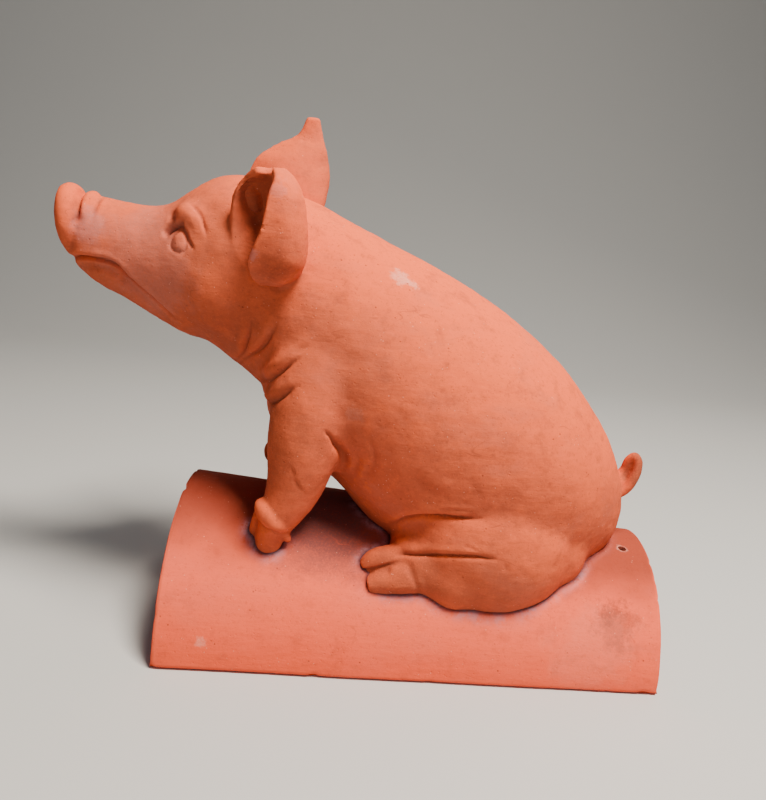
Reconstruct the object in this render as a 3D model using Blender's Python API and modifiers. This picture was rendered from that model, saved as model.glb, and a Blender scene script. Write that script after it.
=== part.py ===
"""A terracotta roof ornament: a seated pig luted to a tapered half-round ridge tile.

The tile is a closed solid of its own, and so is the pig, whose underside is cut to the tile.
The pig is drawn in its own frame: millimetres at its drawn height, x from the tile's mid-length
towards the narrow end, y away from the pig's left side, z up from the tile's crest.
"""

import math

import bmesh
import bpy
import numpy as np
from mathutils import Matrix, Vector

MM = 0.001

# Ridge tile, in millimetres
TILE_LENGTH = 450.0
WIDE_RADIUS = 130.0
NARROW_RADIUS = 107.5
TILE_WALL = 14.0
TILE_SEGMENTS = 96
NAIL_HOLE_RADIUS = 3.6
NAIL_HOLE_FROM_END = 26.0
NAIL_HOLE_TILT = math.radians(14.5)

# Pig, in millimetres
PIG_HEIGHT = 358.0
BEDDING_GAP = 0.3

# Meshing of the pig, in millimetres, and the number of triangles that it keeps
CLAY_VOXEL = 2.6
PIG_TRIANGLES = 8400

TERRACOTTA = (0.72, 0.30, 0.18, 1.0)
TILE_CLAY = (0.74, 0.33, 0.22, 1.0)

CREST_AT_MIDDLE = (WIDE_RADIUS + NARROW_RADIUS) / 2.0
# The pig's tables are drawn at a height of 0.358 m, in thousandths of a metre.
FIGURE_SCALE = PIG_HEIGHT * 0.001 / 0.358

# Trunk, neck, head and snout: top and bottom on the centre plane, and half the width.
# Each row is (top x, top z, bottom x, bottom z, half width).
TRUNK_ROWS = [
    (196, 31, 195, 9, 12),
    (193, 46, 190, -12, 28),
    (185, 68, 174, -32, 46),
    (171, 95, 151, -45, 66),
    (154, 117, 124, -50, 83),
    (128, 147, 88, -53, 99),
    (103, 169, 50, -51, 105),
    (75, 189, 18, -45, 107),
    (47, 206, -10, -36, 106),
    (19, 221, -37, -20, 104),
    (-14, 236, -60, 2, 101),
    (-45, 248, -80, 23, 97),
    (-73, 260, -102, 39, 92),
    (-95, 269, -128, 56, 84),
    (-113, 277, -149, 80, 76),
    (-130, 283, -154, 103, 70),
    (-147, 288, -167, 118, 66),
    (-167, 295, -186, 130, 64),
    (-189, 298, -209, 145, 61),
    (-211, 294, -233, 151, 55),
    (-233, 280, -253, 160, 47),
    (-251, 267, -271, 169, 40),
    (-269, 263, -287, 177, 34),
    (-291, 265, -305, 184, 30),
    (-311, 267, -321, 193, 28),
    (-325, 268, -334, 203, 26),
    (-327, 261, -336, 210, 22),
]

# Rounded masses: centre, radii, and the turn about Y in degrees. They stand on both sides.
PAIRED_MASSES = [
    ((63, 59, -6), (78, 54, 72), 6),
    ((94, 49, 38), (64, 46, 64), 0),
    ((114, 45, -10), (45, 40, 50), 0),
    ((12, 66, -26), (42, 36, 34), 10),
    ((36, 68, -32), (42, 40, 38), 0),
    ((-98, 50, 120), (52, 44, 74), -12),
    ((-190, 34, 200), (44, 30, 42), 20),
    ((-222, 36, 254), (20, 16, 14), 35),
    ((-188, 30, 250), (30, 25, 36), 0),
]
MASS_SMOOTHING = 32
DETAIL_SMOOTHING = 4


def clear_scene():
    for leftover in list(bpy.data.objects):
        bpy.data.objects.remove(leftover)


def new_material(name, colour, roughness):
    made = bpy.data.materials.new(name)
    made.use_nodes = True
    shader = made.node_tree.nodes["Principled BSDF"]
    shader.inputs["Base Color"].default_value = colour
    shader.inputs["Roughness"].default_value = roughness
    shader.inputs["Metallic"].default_value = 0.0
    return made


def smooth_path(points, steps=8):
    """A Catmull-Rom curve through the rows of points, with any number of columns."""
    rows = np.array(points, float)
    rows = np.vstack([2 * rows[0] - rows[1], rows, 2 * rows[-1] - rows[-2]])
    found = []
    for a, b, c, d in zip(rows[:-3], rows[1:-2], rows[2:-1], rows[3:]):
        for t in np.arange(steps) / steps:
            found.append(
                0.5 * (2 * b + (c - a) * t + (2 * a - 5 * b + 4 * c - d) * t**2 + (3 * b - a - 3 * c + d) * t**3)
            )
    found.append(rows[-2])
    return np.array(found)


def mesh_object(name, verts, faces, collection):
    mesh = bpy.data.meshes.new(name)
    mesh.from_pydata([tuple(v) for v in verts], [], faces)
    mesh.update()
    made = bpy.data.objects.new(name, mesh)
    collection.objects.link(made)
    return made


def ring_faces(rings, around):
    """Quads between successive rings of points, and a fan at each end."""
    faces = []
    for ring in range(rings - 1):
        for k in range(around):
            a = ring * around + k
            b = ring * around + (k + 1) % around
            faces.append((a, b, b + around, a + around))
    faces.append(tuple(reversed(range(around))))
    faces.append(tuple(range((rings - 1) * around, rings * around)))
    return faces


def add_lofted(collection, drawn_rows, around):
    """A closed skin over rows of (top x, top z, bottom x, bottom z, half width)."""
    rows = smooth_path(drawn_rows, 4)
    angle = np.arange(around) / around * 2 * math.pi
    verts = []
    for top_x, top_z, low_x, low_z, width in rows:
        middle = np.array([(top_x + low_x) / 2, 0, (top_z + low_z) / 2])
        half = np.array([(top_x - low_x) / 2, 0, (top_z - low_z) / 2])
        for a in angle:
            verts.append(middle + half * math.cos(a) + np.array([0, width * math.sin(a), 0]))
    return mesh_object("lofted", verts, ring_faces(len(rows), around), collection)


def add_ellipsoid(collection, centre, radii, turn=0.0):
    made = bpy.data.meshes.new("mass")
    ball = bmesh.new()
    bmesh.ops.create_uvsphere(ball, u_segments=40, v_segments=24, radius=1.0)
    ball.to_mesh(made)
    ball.free()
    thing = bpy.data.objects.new("mass", made)
    collection.objects.link(thing)
    place = Matrix.Translation(Vector(centre)) @ Matrix.Rotation(math.radians(turn), 4, "Y")
    thing.matrix_world = place @ Matrix.Diagonal((*radii, 1.0))
    return thing


def add_limb(collection, points, side=1.0):
    """A tube with a radius at each point: rows of (x, y, z, radius)."""
    rows = smooth_path(points, 6)
    curve = bpy.data.curves.new("limb", "CURVE")
    curve.dimensions = "3D"
    curve.bevel_depth = 1.0
    curve.bevel_resolution = 6
    curve.use_fill_caps = True
    line = curve.splines.new("POLY")
    line.points.add(len(rows) - 1)
    for point, (x, y, z, radius) in zip(line.points, rows):
        point.co = (x, side * y, z, 1.0)
        point.radius = radius
    thing = bpy.data.objects.new("limb", curve)
    collection.objects.link(thing)
    return thing


FORELEG = [
    (-94, 52, 142, 42),
    (-104, 62, 112, 38),
    (-110, 69, 86, 34),
    (-112.5, 72, 62, 31),
    (-117, 74, 36, 25.5),
    (-126, 76, 12, 20),
    (-134, 74, -8, 14.5),
    (-137, 71, -34, 12),
]
FETLOCK = [((-133, 83, 11), (20, 15, 11), 40)]
NOSE_PAD = ((-321, 0, 250), (9, 26, 21))
FAR_FETLOCK = ((-149, 74, 21), (13, 13, 14))
FORE_TOES = [
    [(-134, 79, 4, 9), (-136, 77, -8, 9), (-138.5, 73, -32, 8.5)],
    [(-144, 68, 6, 7.5), (-147, 66, -6, 7.2), (-149, 63, -26, 7)],
]
FORE_DEWCLAWS = [[(-126, 82, 0, 6), (-120, 81, -8, 4.5), (-117, 78, -14, 3)]]
HIND_PASTERN = [[(34, 68, -28, 20), (10, 80, -32, 19), (-10, 85, -33, 16.5), (-24, 85, -35, 14.5)]]
HIND_TOES = [
    [(-10, 79, -20, 13), (-28, 79, -21, 11.5), (-41, 79, -25, 10), (-49, 79, -32, 7)],
    [(-2, 89, -34, 13), (-18, 90, -37, 12), (-32, 90, -40, 10.5), (-44, 90, -44, 8)],
]
TAIL = [
    (184, -2, 36, 6.5),
    (195, -4, 35, 6),
    (203, -5, 44, 5.6),
    (208, -4, 56, 5.4),
    (209, -2, 66, 4.8),
    (206, 1, 71, 4.8),
    (202, 4, 65, 5.2),
    (200, 5, 56, 5.4),
    (194, 5, 46, 6),
]
TAIL_RIDGE = [(180, 8, 36, 10), (187, 9, 14, 9.5), (188, 8, -6, 8)]

# Nose disc, drawn as the trunk is.
NOSE_ROWS = [
    (-322, 258, -322, 222, 20),
    (-329.5, 266, -327, 215, 26),
    (-333, 273, -332, 212, 30),
    (-340, 276.5, -337, 212, 31.5),
    (-347, 274, -342, 218, 28),
    (-350, 265, -344, 225, 21),
]
NOSTRILS = ((-347, 9.5, 243), (9, 4.6, 6.5))

def add_ear(collection, levels, wall):
    """A cupped ear: a shell through rows of (x, y) at each level, z, that run from its rim on the
    head's side, round its back, to its outer rim."""
    rows = np.array([[(x, y, z) for x, y in row] for z, row in levels], float)
    steps, across = 6, 6
    along = np.array([smooth_path(rows[:, k], steps) for k in range(rows.shape[1])])
    grid = np.array([smooth_path(along[:, k], across) for k in range(along.shape[1])])
    height, width = grid.shape[:2]
    faces = []
    for row in range(height - 1):
        for k in range(width - 1):
            a = row * width + k
            faces.append((a, a + 1, a + width + 1, a + width))
    ear = mesh_object("ear", grid.reshape(-1, 3), faces, collection)
    shell = ear.modifiers.new("wall", "SOLIDIFY")
    shell.thickness = wall
    shell.offset = 0.0
    return ear


EAR_WALL = 7.5
NEAR_EAR = [
    (211, [(-166, -58), (-152, -56), (-141, -60), (-145, -70), (-160, -70)]),
    (219, [(-173, -62), (-153, -54), (-132, -66), (-138, -84), (-165, -84)]),
    (229, [(-181, -60), (-155, -50), (-127, -72), (-134, -93), (-166, -95)]),
    (240, [(-186, -58), (-157, -47), (-125, -74), (-133, -96), (-162, -101)]),
    (258, [(-188, -58), (-159, -48), (-126, -75), (-134, -98), (-156, -103)]),
    (280, [(-186, -62), (-160, -54), (-130, -77), (-137, -97), (-153, -100)]),
    (294, [(-176, -68), (-159, -61), (-138, -78), (-142, -92), (-150, -96)]),
    (301, [(-166, -75), (-157, -70), (-146, -78), (-147, -86), (-153, -88)]),
]
FAR_EAR = [
    (242, [(-178, 48), (-150, 36), (-126, 50), (-138, 70), (-160, 66)]),
    (272, [(-190, 50), (-156, 38), (-123, 52), (-133, 80), (-160, 78)]),
    (297, [(-192, 54), (-156, 43), (-120, 60), (-130, 90), (-158, 92)]),
    (314, [(-186, 57), (-154, 49), (-121, 66), (-131, 91), (-156, 95)]),
    (328, [(-170, 63), (-147, 57), (-124, 67), (-134, 84), (-152, 88)]),
    (339, [(-151, 66), (-141, 64), (-128, 68), (-134, 76), (-146, 79)]),
    (351, [(-142, 68), (-139, 66), (-131, 69), (-134, 72), (-140, 73)]),
    (359, [(-140, 68), (-138, 67), (-133, 69), (-135, 70), (-138, 71)]),
]


class Crease:
    """A line drawn on the pig's side, seen square on, that is pressed in or, below zero, raised.

    A lip is raised along the left of its direction. It stays between two distances from the
    centre plane, and where it wraps it goes on round the throat."""

    def __init__(self, points, width, depth, lip=0.0, ends=0.35, between=(0.0, 200.0), wraps=False):
        self.path = smooth_path(points, 10)
        self.width = width
        self.depth = depth
        self.lip = lip
        self.ends = ends
        self.between = between
        self.wraps = wraps


OUTER = (50.0, 200.0)
HEAD = (18.0, 200.0)
MOUTH = [(-345, 209), (-328, 212), (-315, 212.5), (-299, 211.5), (-290, 208), (-284, 202), (-272, 193), (-259, 184),
         (-245, 173), (-234, 165)]
CREASES = [
    # haunch and hind foot
    Crease([(-36, 6), (-27, 18), (-15, 27), (2, 30), (27, 34), (50, 36)], 3.2, 4.0, 1.2, 0.3, OUTER),
    Crease([(-34, -6), (-3, 1), (18, 3), (35, 3), (48, 2), (68, 0)], 2.8, 4.4, 1.2, 0.25, OUTER),
    Crease([(-18, -3), (-8, -23), (-1, -37), (4, -50)], 2.8, 3.4, 0.6, 0.25, OUTER),
    # throat and neck
    Crease([(-188, 128), (-173, 144), (-169, 155), (-166, 168), (-164, 182)], 3.0, 3.6, 1.6, 0.4, wraps=True),
    Crease([(-184, 126), (-167, 142), (-155, 153), (-147, 167), (-140, 182)], 3.0, 3.6, 1.6, 0.35, wraps=True),
    Crease([(-164, 108), (-152, 122), (-136, 138), (-126, 148), (-115, 157)], 3.2, 4.6, 2.0, 0.35, wraps=True),
    Crease([(-160, 93), (-147, 105), (-134, 117), (-126, 125), (-113, 135)], 3.0, 4.0, 1.8, 0.35, wraps=True),
    # elbow
    Crease([(-76, 50), (-75, 66), (-78, 74), (-83, 82), (-89, 91), (-99, 104)], 3.2, 6.0, 2.4, 0.3, (60, 200)),
    Crease([(-66, 42), (-65, 56), (-63, 68), (-66, 80)], 4.4, 2.6, 0.6, 0.5, (60, 200)),
    Crease([(-60, 40), (-52, 60), (-44, 78)], 5.0, 2.2, 0.6, 0.5, (60, 200)),
    # mouth, with the jaw set back below it
    Crease(MOUTH, 2.8, 4.4, 0.0, 0.14),
    Crease([(x + 1, z - 6) for x, z in MOUTH], 4.6, 2.4, 0.0, 0.25),
    # folds behind the nose disc
    Crease([(-330, 272), (-326, 261), (-326, 252), (-329, 240)], 2.6, 2.8, 0.0, 0.4),
    Crease([(-311, 272), (-312, 262), (-313, 252), (-315, 242)], 2.6, 1.4, 0.8, 0.5),
    # eye: the hollow before it, the upper lid, the ball and the brow
    Crease([(-247, 241), (-241, 246), (-232, 250), (-228, 249)], 3.0, 5.0, 0.0, 0.2, HEAD),
    Crease([(-231, 252), (-227, 244), (-222, 236), (-216, 229)], 2.4, 3.0, 0.0, 0.3, HEAD),
    Crease([(-234, 240), (-231, 233)], 4.6, -2.4, 0.0, 0.0, HEAD),
    Crease([(-234, 264), (-224, 260), (-218, 250), (-213, 236)], 4.6, -3.0, 0.0, 0.4, HEAD),
    Crease([(-208, 236), (-211, 250), (-216, 262), (-223, 269), (-231, 272)], 2.6, 1.6, 0.0, 0.35, HEAD),
    # inside the near ear
    Crease([(-176, 300), (-167, 262), (-168, 222)], 9.0, 9.0, 0.0, 0.3, (20, 78)),
]


def carve(points, normals, creases):
    """Moves the points in or out along their normals, under each crease that passes over them."""
    moved = np.zeros(len(points))
    for crease in creases:
        path = crease.path
        step = np.gradient(path, axis=0)
        step /= np.linalg.norm(step, axis=1)[:, None]
        reach = 4.0 * crease.width
        low, high = path.min(0) - reach, path.max(0) + reach
        near = np.where(
            (points[:, 0] > low[0])
            & (points[:, 0] < high[0])
            & (points[:, 2] > low[1])
            & (points[:, 2] < high[1])
            & (np.abs(points[:, 1]) >= crease.between[0])
            & (np.abs(points[:, 1]) <= crease.between[1])
        )[0]
        flat = points[near][:, [0, 2]]
        away = flat[:, None, :] - path[None, :, :]
        squared = (away**2).sum(2)
        nearest = squared.argmin(1)
        rows = np.arange(len(near))
        along = nearest / (len(path) - 1)
        offset = away[rows, nearest]
        signed = step[nearest, 0] * offset[:, 1] - step[nearest, 1] * offset[:, 0]
        fade = np.ones(len(near))
        if crease.ends > 0:
            fade = np.clip(np.minimum(along, 1 - along) / crease.ends, 0, 1)
            fade = fade * fade * (3 - 2 * fade)
        facing = 1.0 if crease.wraps else np.clip((np.abs(normals[near, 1]) - 0.05) / 0.3, 0, 1)
        valley = np.exp(-squared[rows, nearest] / crease.width**2)
        ridge = np.exp(-(((signed - 2.2 * crease.width) / (1.4 * crease.width)) ** 2))
        ridge *= np.exp(-squared[rows, nearest] / (4 * crease.width) ** 2)
        moved[near] += fade * facing * (crease.lip * ridge - crease.depth * valley)
    return points + normals * moved[:, None]


def dent(points, centre, reach):
    """Presses a pit along X on both sides: how deep, and its half width and half height."""
    depth, wide, high = reach
    for side in (-1.0, 1.0):
        away = (points - np.array([centre[0], side * centre[1], centre[2]])) / np.array([14, wide, high])
        points[:, 0] += depth * np.exp(-(away**2).sum(1))
    return points


def evaluated_mesh(thing):
    graph = bpy.context.evaluated_depsgraph_get()
    return bpy.data.meshes.new_from_object(thing.evaluated_get(graph))


def joined(name, things, collection):
    """One object that holds the shapes of all the things, which are removed."""
    whole = bmesh.new()
    bpy.context.view_layer.update()
    for thing in things:
        mesh = evaluated_mesh(thing)
        mesh.transform(thing.matrix_world)
        if thing.matrix_world.determinant() < 0:
            mesh.flip_normals()
        whole.from_mesh(mesh)
        bpy.data.meshes.remove(mesh)
    bmesh.ops.remove_doubles(whole, verts=whole.verts, dist=0.001)
    mesh = bpy.data.meshes.new(name)
    whole.to_mesh(mesh)
    whole.free()
    for thing in things:
        bpy.data.objects.remove(thing)
    made = bpy.data.objects.new(name, mesh)
    collection.objects.link(made)
    return made


def kneaded(thing, voxel, rounds, collection):
    """The thing as one even skin, smoothed by so many rounds."""
    skin = thing.modifiers.new("skin", "REMESH")
    skin.mode = "VOXEL"
    skin.voxel_size = voxel
    soften = thing.modifiers.new("soften", "SMOOTH")
    soften.factor = 0.5
    soften.iterations = rounds
    bpy.context.view_layer.update()
    mesh = evaluated_mesh(thing)
    name = thing.name
    bpy.data.objects.remove(thing)
    made = bpy.data.objects.new(name, mesh)
    collection.objects.link(made)
    return made


def add_body_masses(collection):
    things = [add_lofted(collection, TRUNK_ROWS, 56)]
    for centre, radii, turn in PAIRED_MASSES:
        for side in (-1.0, 1.0):
            x, y, z = centre
            things.append(add_ellipsoid(collection, (x, side * y, z), radii, turn))
    for side in (-1.0, 1.0):
        things.append(add_limb(collection, FORELEG, side))
    return things


def add_details(collection):
    things = [add_lofted(collection, NOSE_ROWS, 40)]
    things += [add_limb(collection, points) for points in (TAIL, TAIL_RIDGE)]
    for side in (-1.0, 1.0):
        for points in FORE_TOES + FORE_DEWCLAWS + HIND_PASTERN + HIND_TOES:
            things.append(add_limb(collection, points, side))
        for (x, y, z), radii, turn in FETLOCK:
            things.append(add_ellipsoid(collection, (x, side * y, z), radii, turn))
    for centre, radii in (NOSE_PAD, FAR_FETLOCK):
        things.append(add_ellipsoid(collection, centre, radii))
    for levels in (NEAR_EAR, FAR_EAR):
        things.append(add_ear(collection, levels, EAR_WALL))
    return things


def sculpt_pig(collection):
    """The pig in its drawn frame: masses, then details, then creases."""
    body = joined("pig", add_body_masses(collection), collection)
    body = kneaded(body, CLAY_VOXEL, MASS_SMOOTHING, collection)
    body = joined("pig", [body] + add_details(collection), collection)
    body = kneaded(body, CLAY_VOXEL, DETAIL_SMOOTHING, collection)
    mesh = body.data
    count = len(mesh.vertices)
    points = np.empty(count * 3)
    mesh.vertices.foreach_get("co", points)
    normals = np.array([v.normal for v in mesh.vertices])
    points = carve(points.reshape(-1, 3), normals, CREASES)
    points = dent(points, *NOSTRILS)
    mesh.vertices.foreach_set("co", points.ravel())
    mesh.update()
    return body


def cone_solid(name, wide, narrow, length, collection, extra=0.0):
    """A solid cone frustum along X, from x = -extra to length + extra, in metres."""
    slope = (narrow - wide) / length
    shape = bmesh.new()
    bmesh.ops.create_cone(
        shape,
        cap_ends=True,
        cap_tris=False,
        segments=TILE_SEGMENTS,
        radius1=(wide - slope * extra) * MM,
        radius2=(narrow + slope * extra) * MM,
        depth=(length + 2 * extra) * MM,
    )
    bmesh.ops.rotate(shape, verts=shape.verts, cent=(0, 0, 0), matrix=Matrix.Rotation(math.pi / 2, 3, "Y"))
    bmesh.ops.translate(shape, verts=shape.verts, vec=(length / 2 * MM, 0, 0))
    mesh = bpy.data.meshes.new(name)
    shape.to_mesh(mesh)
    shape.free()
    made = bpy.data.objects.new(name, mesh)
    collection.objects.link(made)
    return made


def box_solid(name, low, high, collection):
    shape = bmesh.new()
    bmesh.ops.create_cube(shape, size=1.0)
    bmesh.ops.scale(shape, verts=shape.verts, vec=[(h - l) * MM for l, h in zip(low, high)])
    bmesh.ops.translate(shape, verts=shape.verts, vec=[(h + l) / 2 * MM for l, h in zip(low, high)])
    mesh = bpy.data.meshes.new(name)
    shape.to_mesh(mesh)
    shape.free()
    made = bpy.data.objects.new(name, mesh)
    collection.objects.link(made)
    return made


def as_helper(thing):
    thing.hide_render = True
    thing.display_type = "WIRE"
    return thing


def cut(thing, cutter):
    step = thing.modifiers.new("cut", "BOOLEAN")
    step.operation = "DIFFERENCE"
    step.object = as_helper(cutter)
    return thing


def radius_at(x):
    return WIDE_RADIUS + (NARROW_RADIUS - WIDE_RADIUS) * x / TILE_LENGTH


def add_tile(parts, cutters):
    tile = cone_solid("ridge_tile", WIDE_RADIUS, NARROW_RADIUS, TILE_LENGTH, parts)
    hollow = cone_solid(
        "hollow", WIDE_RADIUS - TILE_WALL, NARROW_RADIUS - TILE_WALL, TILE_LENGTH, cutters, extra=20.0
    )
    cut(tile, hollow)
    reach = 1.5 * WIDE_RADIUS
    cut(tile, box_solid("below", (-50, -reach, -reach), (TILE_LENGTH + 50, reach, 0), cutters))
    at = TILE_LENGTH - NAIL_HOLE_FROM_END
    drill = bmesh.new()
    bmesh.ops.create_cone(
        drill,
        cap_ends=True,
        segments=20,
        radius1=NAIL_HOLE_RADIUS * MM,
        radius2=NAIL_HOLE_RADIUS * MM,
        depth=6 * TILE_WALL * MM,
    )
    mesh = bpy.data.meshes.new("nail_drill")
    drill.to_mesh(mesh)
    drill.free()
    nail_drill = bpy.data.objects.new("nail_drill", mesh)
    cutters.objects.link(nail_drill)
    turn = Matrix.Rotation(NAIL_HOLE_TILT, 4, "X")
    nail_drill.matrix_world = (
        Matrix.Translation((at * MM, 0, 0)) @ turn @ Matrix.Translation((0, 0, radius_at(at) * MM))
    )
    cut(tile, nail_drill)
    return tile


def add_pig(parts, cutters):
    pig = sculpt_pig(parts)
    scale = FIGURE_SCALE * MM
    place = Matrix.Translation((TILE_LENGTH / 2 * MM, 0, CREST_AT_MIDDLE * MM)) @ Matrix.Scale(scale, 4)
    pig.data.transform(place)
    thin = pig.modifiers.new("thin", "DECIMATE")
    faces = sum(len(p.vertices) - 2 for p in pig.data.polygons)
    thin.ratio = PIG_TRIANGLES / faces
    seat = cone_solid(
        "seat",
        WIDE_RADIUS + BEDDING_GAP,
        NARROW_RADIUS + BEDDING_GAP,
        TILE_LENGTH,
        cutters,
        extra=120.0,
    )
    cut(pig, seat)
    return pig


def centre_on_origin(root, things):
    """Moves the root so that the origin is under the middle of the whole, at its foot."""
    bpy.context.view_layer.update()
    graph = bpy.context.evaluated_depsgraph_get()
    corners = []
    for thing in things:
        evaluated = thing.evaluated_get(graph)
        corners += [evaluated.matrix_world @ Vector(c) for c in evaluated.bound_box]
    low = [min(c[k] for c in corners) for k in range(3)]
    high = [max(c[k] for c in corners) for k in range(3)]
    root.location = (-(low[0] + high[0]) / 2, -(low[1] + high[1]) / 2, -low[2])
    bpy.context.view_layer.update()


def main():
    clear_scene()
    parts = bpy.data.collections.new("pig_ridge_tile")
    cutters = bpy.data.collections.new("cutters")
    for collection in (parts, cutters):
        bpy.context.scene.collection.children.link(collection)
    tile = add_tile(parts, cutters)
    pig = add_pig(parts, cutters)
    tile.data.materials.append(new_material("tile_terracotta", TILE_CLAY, 0.85))
    pig.data.materials.append(new_material("pig_terracotta", TERRACOTTA, 0.85))
    pig.data.shade_smooth()
    root = bpy.data.objects.new("ridge_piece", None)
    parts.objects.link(root)
    for thing in [tile, pig] + list(cutters.objects):
        thing.parent = root
    centre_on_origin(root, [tile, pig])


main()
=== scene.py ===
"""A terracotta roof ornament, dressed: a seated pig luted to a tapered half-round ridge tile.

The pig is modelled in its own drawing frame: millimetres, x from the tile's mid-length towards the
narrow end, y away from the pig's left side, z up from the tile's crest. The tile is modelled in
millimetres from its wide end. Both are then placed in the frame's metres.
"""

import logging
import math
from dataclasses import dataclass
from enum import Enum

import bmesh
import bpy
import numpy as np
from bpy.types import ID, Material, Mesh, Node, NodeSocket, Object
from mathutils import Matrix, Vector, noise
from mathutils.bvhtree import BVHTree

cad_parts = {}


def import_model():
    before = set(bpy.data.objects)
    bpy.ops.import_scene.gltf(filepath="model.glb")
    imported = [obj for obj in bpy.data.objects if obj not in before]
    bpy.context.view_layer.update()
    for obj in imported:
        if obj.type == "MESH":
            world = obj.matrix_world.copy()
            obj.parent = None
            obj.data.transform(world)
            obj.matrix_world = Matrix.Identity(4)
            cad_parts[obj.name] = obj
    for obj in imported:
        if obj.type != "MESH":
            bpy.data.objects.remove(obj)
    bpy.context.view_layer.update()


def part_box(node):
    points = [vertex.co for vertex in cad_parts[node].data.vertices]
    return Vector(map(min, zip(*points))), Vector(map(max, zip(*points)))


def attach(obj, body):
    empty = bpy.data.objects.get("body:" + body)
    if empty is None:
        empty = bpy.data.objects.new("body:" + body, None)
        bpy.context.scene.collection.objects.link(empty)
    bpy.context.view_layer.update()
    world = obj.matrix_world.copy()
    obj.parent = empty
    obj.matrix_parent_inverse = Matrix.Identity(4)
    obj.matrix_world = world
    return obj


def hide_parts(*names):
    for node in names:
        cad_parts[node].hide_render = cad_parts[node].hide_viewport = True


MM = 0.001
LOG = logging.getLogger("roof_ornament")

Point = tuple[float, float, float]
Colour = tuple[float, float, float]
Value = NodeSocket | float | Colour
Rows = tuple[tuple[float, ...], ...]
Line = tuple[tuple[float, float], ...]
Levels = tuple[tuple[float, Line], ...]
Folds = tuple[tuple[float, float, float, float, Line], ...]
Layers = list[tuple[Colour, NodeSocket]]

# How many points a smooth path has for each span between two of its rows.
SECTION_STEPS, LIMB_STEPS, EAR_STEPS, CREASE_STEPS = 4, 6, 10, 12
# A crease, in its own widths: how far off it is felt, where its lip lies and how wide that is.
CREASE_REACH, LIP_AT, LIP_WIDTH = 4.0, 2.2, 1.4
# How much a skin must face sideways to start taking a crease, and how much more to take all of it.
FACING_FROM, FACING_SPAN = 0.05, 0.3


class Hand(Enum):
    """A side of the pig, as the sign of y there."""

    LEFT = -1.0
    RIGHT = 1.0


def smooth_path(points: Rows | np.ndarray, steps: int) -> np.ndarray:
    """Draws a Catmull-Rom curve through points with any number of columns.

    Args:
        points: The rows that the curve passes through.
        steps: How many points are found for each span between two rows.

    Returns:
        One row for each point of the curve.
    """
    rows = np.array(points, float)
    rows = np.vstack([2 * rows[0] - rows[1], rows, 2 * rows[-1] - rows[-2]])
    found = []
    for a, b, c, d in zip(rows[:-3], rows[1:-2], rows[2:-1], rows[3:]):
        for t in np.arange(steps) / steps:
            bend = (2 * a - 5 * b + 4 * c - d) * t**2 + (3 * b - a - 3 * c + d) * t**3
            found.append(0.5 * (2 * b + (c - a) * t + bend))
    found.append(rows[-2])
    return np.array(found)


def linked(name: str, data: ID) -> Object:
    """Makes an object of the mesh or curve and links it to the scene.

    Args:
        name: The object's name.
        data: Its mesh or curve.

    Returns:
        The new object.
    """
    made = bpy.data.objects.new(name, data)
    bpy.context.scene.collection.objects.link(made)
    return made


def shaped(name: str, shape: bmesh.types.BMesh) -> Object:
    """Makes an object from a bmesh, which is freed.

    Args:
        name: The object's name.
        shape: The bmesh.

    Returns:
        The new object.
    """
    mesh = bpy.data.meshes.new(name)
    shape.to_mesh(mesh)
    shape.free()
    return linked(name, mesh)


def mesh_object(name: str, verts: np.ndarray, faces: list[tuple[int, ...]]) -> Object:
    """Makes an object from points and faces.

    Args:
        name: The object's name.
        verts: One row of x, y, z for each point.
        faces: The points of each face, in order.

    Returns:
        The new object.
    """
    mesh = bpy.data.meshes.new(name)
    mesh.from_pydata([tuple(v) for v in verts], [], faces)
    mesh.update()
    return linked(name, mesh)


def evaluated_mesh(thing: Object) -> Mesh:
    """Returns a new mesh with the object's modifiers applied."""
    graph = bpy.context.evaluated_depsgraph_get()
    return bpy.data.meshes.new_from_object(thing.evaluated_get(graph))


def settled(thing: Object) -> Object:
    """Replaces the object by one that has its modifiers applied.

    Args:
        thing: The object, which is removed.

    Returns:
        The object that takes its name.
    """
    bpy.context.view_layer.update()
    name = thing.name
    mesh = evaluated_mesh(thing)
    bpy.data.objects.remove(thing)
    return linked(name, mesh)


def read_rows(items: bpy.types.bpy_prop_collection, key: str) -> np.ndarray:
    """Reads three numbers from each of a mesh's items.

    Args:
        items: The mesh's points or normals.
        key: What is read.

    Returns:
        One row for each item.
    """
    flat = np.empty(len(items) * 3)
    items.foreach_get(key, flat)
    return flat.reshape(-1, 3)


def read_points(mesh: Mesh) -> np.ndarray:
    """Returns the mesh's points, one row each."""
    return read_rows(mesh.vertices, "co")


def read_normals(mesh: Mesh) -> np.ndarray:
    """Returns the mesh's point normals, one row each."""
    return read_rows(mesh.vertex_normals, "vector")


def write_points(mesh: Mesh, points: np.ndarray) -> None:
    """Moves the mesh's points to the given rows."""
    mesh.vertices.foreach_set("co", points.ravel())
    mesh.update()


def write_share(mesh: Mesh, name: str, values: np.ndarray) -> None:
    """Keeps a number from 0 to 1 on each of the mesh's points, for the material to read."""
    layer = mesh.attributes.new(name, "FLOAT", "POINT")
    layer.data.foreach_set("value", np.clip(values, 0, 1).astype(np.float32))


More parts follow.
